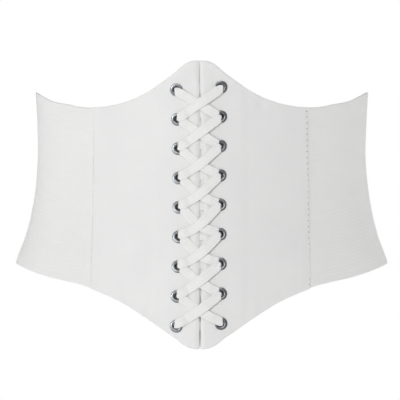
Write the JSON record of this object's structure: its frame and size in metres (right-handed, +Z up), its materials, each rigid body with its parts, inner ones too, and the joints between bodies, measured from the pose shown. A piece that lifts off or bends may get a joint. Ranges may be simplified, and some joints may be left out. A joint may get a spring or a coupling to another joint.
{
  "type": "lace-up waist belt",
  "caption": "Wide lace-up waist belt with pointed front panels, metal eyelets, a crossed flat lace and an elastic band round the sides and back, in its worn form.",
  "frame": {"origin": "middle of the waist hollow at its narrowest height, where the wearer's waist sits", "axes": "+Z up along the wearer, the laced front faces -Y, X runs across the front; left and right are as seen from the front, so left is -X"},
  "size_m": [0.2824, 0.1985, 0.2073],
  "materials": {
    "faux_leather": "matte white coated cloth with a fine pressed grain",
    "elastic": "white woven elastic with fine ribs along its length",
    "braid": "white flat woven lace",
    "nickel": "nickel-plated rolled eyelets, slightly dulled"
  },
  "bodies": {
    "root": {"elastic_band": "elastic", "modesty_strip": "faux_leather", "lace": "braid", "front_panel_left": "faux_leather", "front_panel_right": "faux_leather", "eyelet_left_1": "nickel", "eyelet_left_2": "nickel", "eyelet_left_3": "nickel", "eyelet_left_4": "nickel", "eyelet_left_5": "nickel", "eyelet_left_6": "nickel", "eyelet_left_7": "nickel", "eyelet_left_8": "nickel", "eyelet_left_9": "nickel", "eyelet_right_1": "nickel", "eyelet_right_2": "nickel", "eyelet_right_3": "nickel", "eyelet_right_4": "nickel", "eyelet_right_5": "nickel", "eyelet_right_6": "nickel", "eyelet_right_7": "nickel", "eyelet_right_8": "nickel", "eyelet_right_9": "nickel"}
  },
  "joints": []
}
